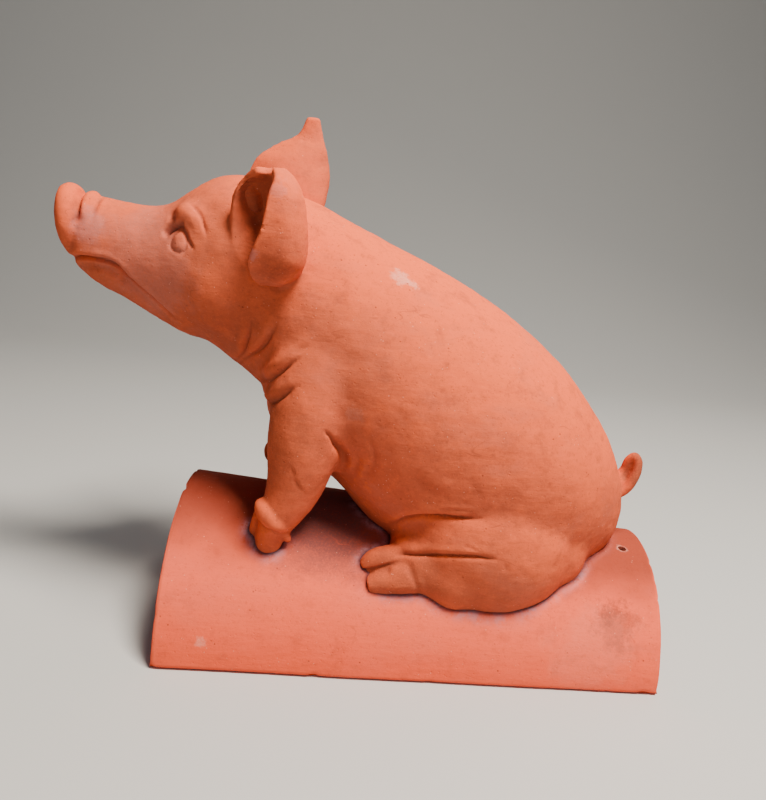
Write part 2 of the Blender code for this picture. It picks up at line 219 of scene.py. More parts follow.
def write_hollow_shade_and_wear(mesh: Mesh, rounds: int, reach: float) -> None:
    """Keeps how hollow and how worn the skin is, against the mean of its neighbours: the hollows
    take painted shade and the worn parts are paler.

    Args:
        mesh: The mesh.
        rounds: How many times the neighbours are averaged, which sets the width looked at.
        reach: The depth, in metres, that counts as fully hollow.
    """
    edges = np.empty(len(mesh.edges) * 2, np.int32)
    mesh.edges.foreach_get("vertices", edges)
    a, b = edges.reshape(-1, 2).T
    points = read_points(mesh)
    size = len(points)
    count = np.bincount(a, minlength=size) + np.bincount(b, minlength=size)
    mean = points.copy()
    for _ in range(rounds):
        total = np.zeros_like(mean)
        for column in range(3):
            total[:, column] += np.bincount(a, mean[b, column], size)
            total[:, column] += np.bincount(b, mean[a, column], size)
        mean = 0.5 * mean + 0.5 * total / np.maximum(count, 1)[:, None]
    depth = ((mean - points) * read_normals(mesh)).sum(1) / reach
    write_share(mesh, "hollow", depth)
    write_share(mesh, "worn", -depth)


def clouds(points: np.ndarray, scale: Point, shift: float = 0.0) -> np.ndarray:
    """Returns noise at each point, by its speed along x, y and z and a shift of its pattern."""
    rows = points * np.array(scale) + np.array((0.0, 0.0, shift))
    return np.array([noise.noise(Vector(row)) for row in rows])


@dataclass(frozen=True)
class Crease:
    """A line on the pig's side, seen square on, that is pressed in or, below zero, raised.

    A lip is raised along the left of its direction. It stays between two distances from the
    centre plane, and where it wraps it goes on round the throat.
    """

    width: float
    depth: float
    lip: float
    ends: float
    line: Line
    between: tuple[float, float] = (0.0, 200.0)
    wraps: bool = False
    hands: tuple[Hand, ...] = (Hand.LEFT, Hand.RIGHT)

    def press(self, points: np.ndarray, normals: np.ndarray, moved: np.ndarray) -> None:
        """Adds what this line does to how far each point moves along its normal.

        Args:
            points: The points before any line is pressed.
            normals: Their normals.
            moved: The distances so far, which are added to.
        """
        path = smooth_path(self.line, CREASE_STEPS)
        step = np.gradient(path, axis=0)
        step /= np.linalg.norm(step, axis=1)[:, None]
        reach = CREASE_REACH * self.width
        drawn, aside = points[:, [0, 2]], np.abs(points[:, 1])
        felt = ((drawn > path.min(0) - reach) & (drawn < path.max(0) + reach)).all(1)
        felt &= (aside >= self.between[0]) & (aside <= self.between[1])
        signs = [hand.value for hand in self.hands]
        felt &= np.isin(np.where(points[:, 1] < 0, -1.0, 1.0), signs)
        near = np.flatnonzero(felt)
        if not len(near):
            return
        away = drawn[near][:, None] - path
        squared = (away**2).sum(2)
        nearest = squared.argmin(1)
        rows = np.arange(len(near))
        closest = squared[rows, nearest]
        offset = away[rows, nearest]
        signed = step[nearest, 0] * offset[:, 1] - step[nearest, 1] * offset[:, 0]
        fade = np.ones(len(near))
        if self.ends > 0:
            along = nearest / (len(path) - 1)
            fade = np.clip(np.minimum(along, 1 - along) / self.ends, 0, 1)
            fade = fade * fade * (3 - 2 * fade)
        if not self.wraps:
            sideways = np.abs(normals[near, 1]) - FACING_FROM
            fade = fade * np.clip(sideways / FACING_SPAN, 0, 1)
        valley = np.exp(-closest / self.width**2)
        ridge = np.exp(-(((signed - LIP_AT * self.width) / (LIP_WIDTH * self.width)) ** 2))
        ridge *= np.exp(-closest / reach**2)
        moved[near] += fade * (self.lip * ridge - self.depth * valley)


class Sculptor:
    """Adds lumps of clay in the pig's drawing frame and kneads them into one skin."""

    @staticmethod
    def lofted(drawn_rows: Rows, around: int) -> Object:
        """Makes a closed skin over oval sections.

        Args:
            drawn_rows: Rows of top x, top z, bottom x, bottom z and half the width.
            around: How many points go round each section.

        Returns:
            The skin as an object.
        """
        rows = smooth_path(drawn_rows, SECTION_STEPS)
        turn = np.arange(around) / around * 2 * math.pi
        verts = []
        for top_x, top_z, low_x, low_z, width in rows:
            middle = np.array([(top_x + low_x) / 2, 0, (top_z + low_z) / 2])
            half = np.array([(top_x - low_x) / 2, 0, (top_z - low_z) / 2])
            side = np.array([0, width, 0])
            verts += [middle + half * math.cos(a) + side * math.sin(a) for a in turn]
        faces: list[tuple[int, ...]] = []
        for ring in range(len(rows) - 1):
            for k in range(around):
                a, b = ring * around + k, ring * around + (k + 1) % around
                faces.append((a, b, b + around, a + around))
        faces.append(tuple(reversed(range(around))))
        faces.append(tuple(range((len(rows) - 1) * around, len(rows) * around)))
        return mesh_object("lofted", np.array(verts), faces)

    @staticmethod
    def lump(centre: Point, radii: Point, turn: float) -> Object:
        """Makes an ellipsoid.

        Args:
            centre: Its middle.
            radii: Its three radii.
            turn: Its turn about y, in degrees.

        Returns:
            The ellipsoid as an object.
        """
        ball = bmesh.new()
        bmesh.ops.create_uvsphere(ball, u_segments=48, v_segments=28, radius=1.0)
        place = Matrix.Translation(Vector(centre)) @ Matrix.Rotation(math.radians(turn), 4, "Y")
        lump = shaped("lump", ball)
        lump.data.transform(place @ Matrix.Diagonal((*radii, 1.0)))
        return lump

    @staticmethod
    def limb(points: Rows, hand: Hand = Hand.RIGHT) -> Object:
        """Rolls a tube of clay with a radius at each point.

        Args:
            points: Rows of x, y, z and the radius there.
            hand: The side that it goes on.

        Returns:
            The tube as a curve object.
        """
        rows = smooth_path(points, LIMB_STEPS)
        curve = bpy.data.curves.new("limb", "CURVE")
        curve.dimensions = "3D"
        curve.bevel_depth = 1.0
        curve.bevel_resolution = 8
        curve.use_fill_caps = True
        line = curve.splines.new("POLY")
        line.points.add(len(rows) - 1)
        for point, (x, y, z, radius) in zip(line.points, rows):
            point.co = (x, hand.value * y, z, 1.0)
            point.radius = radius
        return linked("limb", curve)

    @staticmethod
    def cupped_ear(levels: Levels, wall: float) -> Object:
        """Makes an ear as a curled sheet of clay.

        Args:
            levels: For each height z, points (x, y) from the rim by the head, round the back of
                the cup, to the outer rim.
            wall: The sheet's thickness.

        Returns:
            The ear as an object.
        """
        rows = np.array([[(x, y, z) for x, y in row] for z, row in levels], float)
        along = np.array([smooth_path(column, EAR_STEPS) for column in rows.swapaxes(0, 1)])
        grid = np.array([smooth_path(ring, EAR_STEPS) for ring in along.swapaxes(0, 1)])
        height, width = grid.shape[:2]
        faces = []
        for row in range(height - 1):
            for k in range(width - 1):
                a = row * width + k
                faces.append((a, a + 1, a + width + 1, a + width))
        ear = mesh_object("ear", grid.reshape(-1, 3), faces)
        shell = ear.modifiers.new("wall", "SOLIDIFY")
        shell.thickness = wall
        shell.offset = 0.0
        return ear

    @staticmethod
    def kneaded(things: list[Object], voxel: float, rounds: int) -> Object:
        """Joins the things into one even skin and smooths it.

        Args:
            things: The objects, which are removed.
            voxel: The size of the skin's faces.
            rounds: How many times it is smoothed.

        Returns:
            The skin as an object.
        """
        whole = bmesh.new()
        bpy.context.view_layer.update()
        for thing in things:
            mesh = evaluated_mesh(thing)
            whole.from_mesh(mesh)
            bpy.data.meshes.remove(mesh)
            bpy.data.objects.remove(thing)
        bmesh.ops.remove_doubles(whole, verts=whole.verts, dist=0.001)
        body = shaped("skin", whole)
        skin = body.modifiers.new("skin", "REMESH")
        skin.mode = "VOXEL"
        skin.voxel_size = voxel
        soften = body.modifiers.new("soften", "SMOOTH")
        soften.factor = 0.5
        soften.iterations = rounds
        return settled(body)


@dataclass(frozen=True)
class TileForm:
    """The ridge tile's sizes, in millimetres, and the x of its wide end, in the frame's metres."""

    wide_end: float
    length: float = 450.0
    wide_radius: float = 130.0
    narrow_radius: float = 107.5
    wall: float = 14.0
    hole_radius: float = 3.6
    hole_from_end: float = 26.0
    hole_tilt: float = math.radians(14.5)

    def radius_at(self, x: np.ndarray | float) -> np.ndarray | float:
        """Returns the outer radius at a distance x from the wide end."""
        return self.wide_radius + (self.narrow_radius - self.wide_radius) * x / self.length

    def placed(self, points: np.ndarray) -> np.ndarray:
        """Returns points, in millimetres from the wide end, in the frame's metres."""
        return points * MM + np.array((self.wide_end, 0.0, 0.0))

    @property
    def crest_at_middle(self) -> float:
        """The crest's height at mid-length."""
        return (self.wide_radius + self.narrow_radius) / 2


@dataclass(frozen=True)
class Patch:
    """A bloom, a stain, a scuff or a patch of painted shade.

    It has its centre in the frame and its radius in metres, how strongly its tint shows, how much
    noise breaks its edge, as a share of the radius, and the share of the radius that it fills.
    """

    centre: Point
    radius: float
    strength: float
    tint: Colour
    edge: float = 0.55
    core: float = 0.35


class Bench:
    """Adds and links the nodes of one material."""

    def __init__(self, name: str) -> None:
        """Starts a material whose coordinates are the piece's own, in metres.

        Args:
            name: The material's name.
        """
        self.material = bpy.data.materials.new(name)
        self.material.use_nodes = True
        self.tree = self.material.node_tree
        self.shader = self.tree.nodes["Principled BSDF"]
        self.place = self.node("TexCoord", {}, "Object")

    def node(
        self, kind: str, inputs: dict[str | int, Value], out: str | int, **options: str
    ) -> NodeSocket:
        """Adds a shader node.

        Args:
            kind: Its type, after the word ShaderNode.
            inputs: What goes on each input: an output socket, a number or a colour.
            out: Which output is wanted.
            options: Its other settings.

        Returns:
            The output.
        """
        node = self.tree.nodes.new("ShaderNode" + kind)
        for name, option in options.items():
            setattr(node, name, option)
        self.feed(node, inputs)
        return node.outputs[out]

    def feed(self, node: Node, inputs: dict[str | int, Value]) -> None:
        """Links output sockets to a node's inputs, or sets numbers and colours on them.

        Args:
            node: The node.
            inputs: What goes on each input.
        """
        for key, value in inputs.items():
            socket = node.inputs[key]
            if isinstance(value, NodeSocket):
                self.tree.links.new(value, socket)
            else:
                socket.default_value = (*value, 1.0) if socket.type == "RGBA" else value

    def stretched(self, scale: Point) -> NodeSocket:
        """Returns the coordinates scaled by three factors."""
        return self.node("Mapping", {"Vector": self.place, "Scale": scale}, "Vector")

    def noise(
        self, scale: float, detail: float, rough: float = 0.55, at: NodeSocket | None = None
    ) -> NodeSocket:
        """Returns noise: its features to a metre, its finer layers and their strength."""
        inputs = {"Vector": at or self.place, "Scale": scale, "Detail": detail, "Roughness": rough}
        return self.node("TexNoise", inputs, "Fac")

    def cells(self, scale: float) -> NodeSocket:
        """Returns the distance to the nearest of scattered points, so many to a metre."""
        return self.node("TexVoronoi", {"Vector": self.place, "Scale": scale}, "Distance")

    def step(
        self, value: Value, low: float, high: float, at_low: float = 0.0, at_high: float = 1.0
    ) -> NodeSocket:
        """Returns a smooth step of the value between two limits, with the result at each."""
        keys = ("Value", "From Min", "From Max", "To Min", "To Max")
        inputs = dict(zip(keys, (value, low, high, at_low, at_high)))
        return self.node("MapRange", inputs, "Result", interpolation_type="SMOOTHSTEP")

    def maths(self, kind: str, a: Value, b: Value = 0.0) -> NodeSocket:
        """Returns the result of a Math node."""
        return self.node("Math", {0: a, 1: b}, 0, operation=kind)

    def times(self, a: Value, b: Value) -> NodeSocket:
        """Returns the product of two numbers."""
        return self.maths("MULTIPLY", a, b)

    def layered(self, colour: Value, layers: Layers) -> Value:
        """Lays colours over another, in order.

        Args:
            colour: The colour below.
            layers: Each colour, with how much of it shows.

        Returns:
            The mixed colour.
        """
        for tint, share in layers:
            inputs = {"Factor": share, "A": colour, "B": tint}
            colour = self.node("Mix", inputs, "Result", data_type="RGBA")
        return colour

    def share(self, name: str) -> NodeSocket:
        """Returns a number kept on the mesh's points."""
        return self.node("Attribute", {}, "Fac", attribute_name=name)

    def upward(self) -> NodeSocket:
        """Returns how far the surface faces up, from -1 to 1."""
        return self.node("SeparateXYZ", {0: self.node("NewGeometry", {}, "Normal")}, "Z")

    def patch(self, patch: Patch) -> NodeSocket:
        """Draws a patch with a ragged, powdery edge.

        Args:
            patch: The patch.

        Returns:
            Its share, which is 0 outside.
        """
        ends = {0: self.place, 1: patch.centre}
        away = self.node("VectorMath", ends, "Value", operation="DISTANCE")
        broken = patch.edge * patch.radius
        away = self.maths("ADD", away, 1.2 * broken)
        ragged = self.times(self.noise(1.4 / patch.radius, 5, 0.7), 2.4 * broken)
        spread = self.maths("SUBTRACT", away, ragged)
        spread = self.step(spread, patch.radius, patch.core * patch.radius)
        powder = self.step(self.noise(600.0, 3, 0.7), 0.30, 0.58, 0.55, 1.0)
        return self.times(self.times(spread, powder), patch.strength)

    def bump(
        self, height: NodeSocket, strength: float, depth: float, **under: NodeSocket
    ) -> NodeSocket:
        """Returns the normal bent by a height of a depth in metres, over any Normal given."""
        inputs = {"Height": height, "Strength": strength, "Distance": depth, **under}
        return self.node("Bump", inputs, "Normal")


@dataclass(frozen=True)
class ClayFinish:
    """Unglazed terracotta: its clay colours with painted light and shade, its shine and how much
    its marks show.
    """

    name: str
    body: Colour
    # Pale dust and worn clay, and painted light where the clay faces up.
    dust_and_painted_light: Colour
    # Deep clay tone, and painted shade where the clay faces down and in hollows.
    deep: Colour
    crown: float
    film: Colour = (0.52, 0.135, 0.085)
    soot: Colour = (0.20, 0.034, 0.018)
    slip: Colour = (0.52, 0.25, 0.29)
    # Painted contact shadow where the pig meets the tile.
    contact_shadow: Colour = (0.045, 0.016, 0.020)
    grog: Colour = (0.84, 0.33, 0.22)
    roughness: tuple[float, float] = (0.78, 0.92)
    shine: float = 0.10
    hollow_share: float = 0.85
    worn_share: float = 0.5
    crown_share: float = 0.80
    grog_share: float = 0.55
    score_share: float = 0.5
    soot_share: float = 0.65
    contact_shadow_share: float = 0.92

    def clay_tones_and_painted_light(self, bench: Bench) -> Layers:
        """Clouds the clay's body colour, with painted light where it faces up and painted shade
        where it faces down and in hollows.

        Args:
            bench: The material's nodes.

        Returns:
            The layers over it.
        """
        cloud = bench.noise(9.0, 4, 0.6)
        mottle = bench.noise(55.0, 5, 0.65)
        streaks = bench.noise(17.0, 5, 0.62, bench.stretched((0.7, 1.0, 1.3)))
        sand = bench.noise(330.0, 3, 0.75)
        up = bench.upward()
        sunny = bench.maths("ADD", up, bench.times(cloud, 0.9))
        shady = bench.maths("ADD", up, bench.times(mottle, 0.5))
        top = bench.maths("ADD", up, bench.times(cloud, 0.25))
        crown = bench.step(top, 0.72, 1.06, 0.0, self.crown)
        return [
            # Painted light: the clay is paler where it faces up.
            (self.dust_and_painted_light, bench.step(sunny, 0.0, 1.25)),
            # Painted shade: the clay is deeper where it faces down.
            (self.deep, bench.step(shady, 0.25, -0.75, 0.0, 0.85)),
            (self.deep, bench.step(mottle, 0.50, 0.72, 0.0, 0.48)),
            (self.dust_and_painted_light, bench.step(mottle, 0.48, 0.28, 0.0, 0.45)),
            (self.film, bench.step(streaks, 0.50, 0.68, 0.0, 0.30)),
            (self.deep, bench.step(sand, 0.55, 0.70, 0.0, 0.45)),
            (self.dust_and_painted_light, bench.step(sand, 0.45, 0.32, 0.0, 0.35)),
            # Painted shade in the hollows of the skin.
            (self.deep, bench.times(bench.share("hollow"), self.hollow_share)),
            (self.dust_and_painted_light, bench.times(bench.share("worn"), self.worn_share)),
            (self.soot, bench.times(crown, self.crown_share)),
        ]

    def flecked(self, bench: Bench) -> Layers:
        """Adds grog, tool strokes, soot specks and fine dark grains.

        Args:
            bench: The material's nodes.

        Returns:
            The layers.
        """
        grog_fields = bench.step(bench.noise(70.0, 2), 0.50, 0.62)
        soot_fields = bench.step(bench.noise(45.0, 2), 0.56, 0.66)
        grog = bench.times(bench.step(bench.cells(210.0), 0.14, 0.07), grog_fields)
        soot = bench.times(bench.step(bench.cells(150.0), 0.16, 0.07), soot_fields)
        fine = bench.step(bench.noise(900.0, 2, 0.7), 0.62, 0.74, 0.0, 0.35)
        return [
            (self.grog, bench.times(grog, self.grog_share)),
            (self.deep, bench.times(self.scores(bench), self.score_share)),
            (self.soot, bench.times(soot, self.soot_share)),
            (self.deep, fine),
        ]

    def surface(self, bench: Bench) -> NodeSocket:
        """Bends the normal by the clay's grain, pits and finger marks.

        Args:
            bench: The material's nodes.

        Returns:
            The normal.
        """
        smear = bench.noise(60.0, 4, 0.6, bench.stretched((0.35, 1.0, 1.6)))
        pits = bench.step(bench.cells(150.0), 0.04, 0.16)
        bent = bench.bump(bench.noise(38.0, 3, 0.5), 0.5, 0.0018)
        bent = bench.bump(smear, 0.6, 0.0014, Normal=bent)
        bent = bench.bump(pits, 0.4, 0.0007, Normal=bent)
        bent = bench.bump(self.scores(bench), -0.7, 0.0006, Normal=bent)
        return bench.bump(bench.noise(520.0, 4, 0.7), 0.45, 0.0005, Normal=bent)

    def scores(self, bench: Bench) -> NodeSocket:
        """Draws the few thin strokes that a tool left.

        Args:
            bench: The material's nodes.

        Returns:
            1 on a stroke and 0 off it.
        """
        wander = bench.noise(26.0, 2, 0.45, bench.stretched((0.5, 1.0, 1.5)))
        off_line = bench.maths("ABSOLUTE", bench.maths("SUBTRACT", wander, 0.52))
        places = bench.step(bench.noise(21.0, 2), 0.58, 0.66)
        return bench.times(bench.step(off_line, 0.007, 0.001), places)

    def material(self, patches: list[Patch]) -> Material:
        """Makes the finish as a material.

        Args:
            patches: Its blooms, stain and scuff marks, and patches of painted shade.

        Returns:
            The material.
        """
        bench = Bench(self.name)
        # Stains, blooms and scuffs, and patches of painted shade.
        stains_and_painted_shade = [(patch.tint, bench.patch(patch)) for patch in patches]
        broken = bench.step(bench.noise(120.0, 4, 0.7), 0.30, 0.62)
        seam = [
            (self.slip, bench.times(bench.share("slip"), broken)),
            # Painted contact shadow along the line where the pig meets the tile.
            (self.contact_shadow, bench.times(bench.share("contact_shadow"), self.contact_shadow_share)),
        ]
        layers = self.clay_tones_and_painted_light(bench) + stains_and_painted_shade + self.flecked(bench) + seam
        looks = {
            "Base Color": bench.layered(self.body, layers),
            "Roughness": bench.step(bench.noise(200.0, 3), 0.3, 0.7, *self.roughness),
            "Specular IOR Level": self.shine,
            "Normal": self.surface(bench),
        }
        bench.feed(bench.shader, looks)
        return bench.material


PIG_CLAY = ClayFinish(
    name="pig_terracotta",
    body=(0.54, 0.093, 0.040),
    dust_and_painted_light=(0.82, 0.121, 0.036),
    deep=(0.33, 0.062, 0.030),
    crown=0.0,
)
TILE_CLAY = ClayFinish(
    name="tile_terracotta",
    body=(0.90, 0.096, 0.030),
    dust_and_painted_light=(0.90, 0.122, 0.055),
    deep=(0.62, 0.080, 0.034),
    film=(0.80, 0.132, 0.078),
    crown=1.0,
)


LIME = (0.84, 0.40, 0.30)
ASH = (0.50, 0.25, 0.25)
# A dark smoky brown, for stains on the tile and for painted shade on the pig.
SMOKE_AND_PAINTED_SHADE = (0.16, 0.034, 0.020)
UMBER = (0.26, 0.060, 0.030)
DUSK = (0.40, 0.100, 0.055)
# A grey-dark for painted shadow.
PAINTED_SHADOW_GREY = (0.12, 0.050, 0.050)
MAUVE = (0.50, 0.170, 0.130)
PIG_PATCHES = [
    Patch((0.020, -0.056, 0.3435), 0.011, 0.50, LIME, 1.2),
    Patch((0.032, -0.056, 0.339), 0.007, 0.45, LIME, 1.2),
    Patch((-0.006, -0.094, 0.230), 0.009, 0.15, LIME, 1.4),
    Patch((-0.083, -0.101, 0.405), 0.010, 0.20, ASH, 1.3),
    Patch((-0.100, -0.101, 0.353), 0.007, 0.30, ASH, 1.3),
    # Painted shadow beneath the near ear's rim.
    Patch((-0.081, -0.100, 0.338), 0.024, 0.60, SMOKE_AND_PAINTED_SHADE, 0.6),
    Patch((-0.253, -0.026, 0.360), 0.020, 0.35, ASH, 0.6),
    # Painted shade above the near brow.
    Patch((-0.1757, -0.0385, 0.368), 0.008, 0.40, SMOKE_AND_PAINTED_SHADE, 0.5),
    Patch((-0.120, -0.070, 0.300), 0.060, 0.25, SMOKE_AND_PAINTED_SHADE, 0.7),
    Patch((0.040, -0.097, 0.086), 0.050, 0.60, UMBER, 0.6),
    Patch((-0.062, -0.075, 0.200), 0.060, 0.55, UMBER, 0.7),
    Patch((0.100, -0.105, 0.095), 0.070, 0.30, UMBER, 0.8),
    Patch((-0.170, -0.035, 0.385), 0.090, 0.40, DUSK, 0.7),
    Patch((-0.060, 0.085, 0.430), 0.070, 0.40, DUSK, 0.7),
    Patch((-0.030, -0.090, 0.270), 0.070, 0.30, DUSK, 0.9),
    Patch((0.282, 0.0, 0.178), 0.030, 0.85, UMBER, 0.5, 0.6),
    Patch((-0.200, -0.035, 0.335), 0.065, 0.45, MAUVE, 0.7),
]
TILE_PATCHES = [
    Patch((0.2613, -0.0276, 0.1060), 0.0066, 0.75, LIME, 0.5),
    Patch((0.2452, -0.0941, 0.0561), 0.024, 0.42, SMOKE_AND_PAINTED_SHADE, 1.2),
    Patch((0.2401, -0.0867, 0.0674), 0.015, 0.50, SMOKE_AND_PAINTED_SHADE, 1.2),
    # Painted shadow on the tile between the pig's legs, under its belly.
    Patch((-0.025, -0.044, 0.116), 0.075, 0.80, PAINTED_SHADOW_GREY, 0.5),
    # Painted shade: a near-black disc in and round the nail hole.
    Patch((0.2613, -0.0261, 0.1005), 0.0066, 1.0, (0.012, 0.006, 0.006), 0.05, 0.78),
    Patch((0.2200, -0.1050, 0.0350), 0.050, 0.10, LIME, 0.9),
    Patch((-0.120, -0.125, 0.027), 0.006, 0.40, LIME, 0.9),
]


@dataclass(frozen=True)
class SeatedPig:
    """The pig in its drawing frame: its masses, limbs, ears and folds.

    The trunk and the nose have rows of top x, top z, bottom x, bottom z and half the width. Limbs
    have rows of x, y, z and radius. A mass has its centre, its radii and its turn about y in
    degrees. An ear has, for each height, its outline from the rim by the head round to the outer
    rim. A fold has its width, depth and lip, the share of it that fades out at each end, and its
    line as x and z.
    """

    tile: TileForm
    coarse: float = 2.6
    fine: float = 1.5
    mass_rounds: int = 32
    detail_rounds: int = 9
    triangles: int = 185000
    bedded: float = 4.0
    ear_wall: float = 7.5
    hollow_rounds: int = 12
    hollow_reach: float = 1.1
    unevenness: tuple[tuple[str, float, float], ...] = (
        ("palms", 46.0, 1.6), ("fingers", 15.0, 0.95), ("tools", 5.0, 0.42),
    )
    trunk: Rows = (
        (196, 31, 195, 9, 12), (193, 46, 190, -12, 28), (185, 68, 174, -32, 46),
        (171, 95, 151, -45, 66), (154, 117, 124, -50, 83), (128, 147, 88, -53, 99),
        (103, 169, 50, -51, 105), (75, 189, 18, -45, 107), (47, 206, -10, -36, 106),
        (19, 221, -37, -20, 104), (-14, 236, -60, 2, 101), (-45, 248, -80, 23, 97),
        (-73, 260, -102, 39, 92), (-95, 269, -128, 56, 84), (-113, 277, -149, 80, 76),
        (-130, 283, -154, 103, 70), (-147, 288, -167, 118, 66), (-167, 295, -186, 130, 64),
        (-189, 298, -209, 145, 61), (-211, 294, -233, 151, 55), (-233, 280, -253, 160, 47),
        (-251, 267, -271, 169, 40), (-269, 263, -287, 177, 34), (-291, 265, -305, 184, 30),
        (-311, 267, -321, 193, 28), (-325, 268, -334, 203, 26), (-327, 261, -336, 210, 22),
    )
    nose: Rows = (
        (-322, 258, -322, 222, 20), (-329.5, 266, -327, 215, 26), (-333, 273, -332, 212, 30),
        (-340, 276.5, -337, 212, 31.5), (-347, 274, -342, 218, 28), (-350, 265, -344, 225, 21),
    )
    masses: tuple[tuple[Point, Point, float], ...] = (
        ((63, 59, -6), (78, 54, 72), 6), ((94, 49, 38), (64, 46, 64), 0),
        ((114, 45, -10), (45, 40, 50), 0), ((12, 66, -26), (42, 36, 34), 10),
        ((36, 68, -32), (42, 40, 38), 0), ((-98, 50, 120), (52, 44, 74), -12),
        ((-190, 34, 200), (44, 30, 42), 20), ((-222, 36, 254), (20, 16, 14), 35),
        ((-188, 30, 250), (30, 25, 36), 0),
    )
    foreleg: Rows = (
        (-94, 52, 142, 42), (-104, 62, 112, 38), (-110, 69, 86, 34), (-112.5, 72, 62, 31),
        (-117, 74, 36, 25.5), (-126, 76, 12, 20), (-134, 74, -8, 14.5), (-137, 71, -34, 12),
    )
    toes: tuple[Rows, ...] = (
        ((-134, 79, 4, 9), (-136, 77, -8, 9), (-138.5, 73, -32, 8.5)),
        ((-144, 68, 6, 7.5), (-147, 66, -6, 7.2), (-149, 63, -26, 7)),
        ((-126, 82, 0, 6), (-120, 81, -8, 4.5), (-117, 78, -14, 3)),
        ((34, 68, -28, 20), (10, 80, -32, 19), (-10, 85, -33, 16.5), (-24, 85, -35, 14.5)),
        ((-10, 79, -20, 13), (-28, 79, -21, 11.5), (-41, 79, -25, 10), (-49, 79, -32, 7)),
        ((-2, 89, -34, 13), (-18, 90, -37, 12), (-32, 90, -40, 10.5), (-44, 90, -44, 8)),
    )
    fetlock: tuple[Point, Point, float] = ((-133, 83, 11), (20, 15, 11), 40)
    nose_pad: tuple[Point, Point] = ((-321, 0, 250), (9, 26, 21))
    far_fetlock: tuple[Point, Point] = ((-149, 74, 21), (13, 13, 14))
    tail: Rows = (
        (184, -2, 36, 6.5), (195, -4, 35, 6), (203, -5, 44, 5.6), (208, -4, 56, 5.4),
        (209, -2, 66, 4.8), (206, 1, 71, 4.8), (202, 4, 65, 5.2), (200, 5, 56, 5.4),
        (194, 5, 46, 6),
    )
    tail_ridge: Rows = (
        (180, 8, 36, 10), (187, 9, 14, 9.5), (188, 8, -6, 8),
    )
    tail_root: tuple[Point, Point] = ((195.0, 0.0, 43.0), (6.0, 6.0, 8.0))
    near_ear: Levels = (
        (211, ((-166, -58), (-152, -56), (-141, -60), (-145, -70), (-160, -70))),
        (219, ((-173, -62), (-153, -54), (-132, -66), (-138, -84), (-165, -84))),
        (229, ((-181, -60), (-155, -50), (-127, -72), (-134, -93), (-166, -95))),
        (240, ((-186, -58), (-157, -47), (-125, -74), (-133, -96), (-162, -101))),
        (258, ((-188, -58), (-159, -48), (-126, -75), (-134, -98), (-156, -103))),
        (280, ((-186, -62), (-160, -54), (-130, -77), (-137, -97), (-153, -100))),
        (294, ((-176, -68), (-159, -61), (-138, -78), (-142, -92), (-150, -96))),
        (301, ((-166, -75), (-157, -70), (-146, -78), (-147, -86), (-153, -88))),
    )
    far_ear: Levels = (
        (242, ((-178, 48), (-150, 36), (-126, 50), (-138, 70), (-160, 66))),
        (272, ((-190, 50), (-156, 38), (-123, 52), (-133, 80), (-160, 78))),
        (297, ((-192, 54), (-156, 43), (-120, 60), (-130, 90), (-158, 92))),
        (314, ((-186, 57), (-154, 49), (-121, 66), (-131, 91), (-156, 95))),
        (328, ((-170, 63), (-147, 57), (-124, 67), (-134, 84), (-152, 88))),
        (339, ((-151, 66), (-141, 64), (-128, 68), (-134, 76), (-146, 79))),
        (351, ((-142, 68), (-139, 66), (-131, 69), (-134, 72), (-140, 73))),
        (359, ((-140, 68), (-138, 67), (-133, 69), (-135, 70), (-138, 71))),
    )
    nostril: tuple[Point, Point] = ((-347, 9.5, 243), (14, 4.6, 6.5))
    nostril_depth: float = 9.0
    leg_folds: Folds = (
        (3.4, 2.2, 1.4, 0.3, ((-34, -4), (-25, 8), (-15, 19), (4, 27), (29, 31), (54, 33))),
        (1.4, 3.0, 0.8, 0.3, ((-28, 4), (-15, 19), (4, 27), (29, 31), (52, 33))),
        (1.4, 1.1, 0.4, 0.5, ((6, 35), (24, 38), (42, 38))),
        (2.6, 1.9, 1.4, 0.25, ((-32, -15), (-12, -11), (6, -7), (27, -2), (47, 1), (70, 0))),
        (1.3, 2.4, 0.4, 0.25, ((-28, -14), (-12, -11), (6, -7), (27, -2), (47, 1), (68, 0))),
        (1.4, 0.9, 0.3, 0.5, ((30, 8), (42, 7), (52, 4))),
        (2.0, 0.8, 0.3, 0.5, ((66, 1), (71, -6), (74, -14))),
        (2.6, 2.0, 0.4, 0.45, ((-14, -12), (-8, -24), (-2, -36), (4, -52))),
        (1.4, 2.3, 0.5, 0.25, ((-54, -34), (-46, -31), (-31, -24), (-14, -16))),
        (2.4, 1.1, 0.4, 0.5, ((-38, -40), (-26, -44), (-14, -43), (-6, -40))),
    )
    leg_between: tuple[float, float] = (50.0, 200.0)
    flank_folds: Folds = (
        (3.6, 3.8, 0.9, 0.35, ((-76, 48), (-75, 62), (-77, 73), (-83, 82), (-89, 91))),
        (1.4, 2.4, 0.5, 0.3, ((-76, 62), (-78, 73), (-83, 82), (-89, 91), (-97, 99))),
        (3.8, 2.2, 0.3, 0.5, ((-67, 42), (-65, 54), (-63, 67), (-66, 79))),
        (5.0, 1.7, 0.5, 0.5, ((-60, 40), (-52, 60), (-44, 78))),
        (3.0, 1.0, 0.4, 0.5, ((-56, 94), (-50, 78), (-50, 64))),
        (6.0, 1.0, 0.4, 0.5, ((-26, 66), (0, 52), (30, 48))),
        (2.4, 1.6, 1.0, 0.4, ((-150, 10), (-140, 2), (-130, 0), (-118, -4))),
        (2.0, 0.9, 0.5, 0.5, ((-117, 54), (-112, 46), (-106, 38))),
        (1.6, 0.7, 0.3, 0.5, ((-122, 66), (-117, 58), (-113, 48))),
    )
    flank_between: tuple[float, float] = (60.0, 200.0)
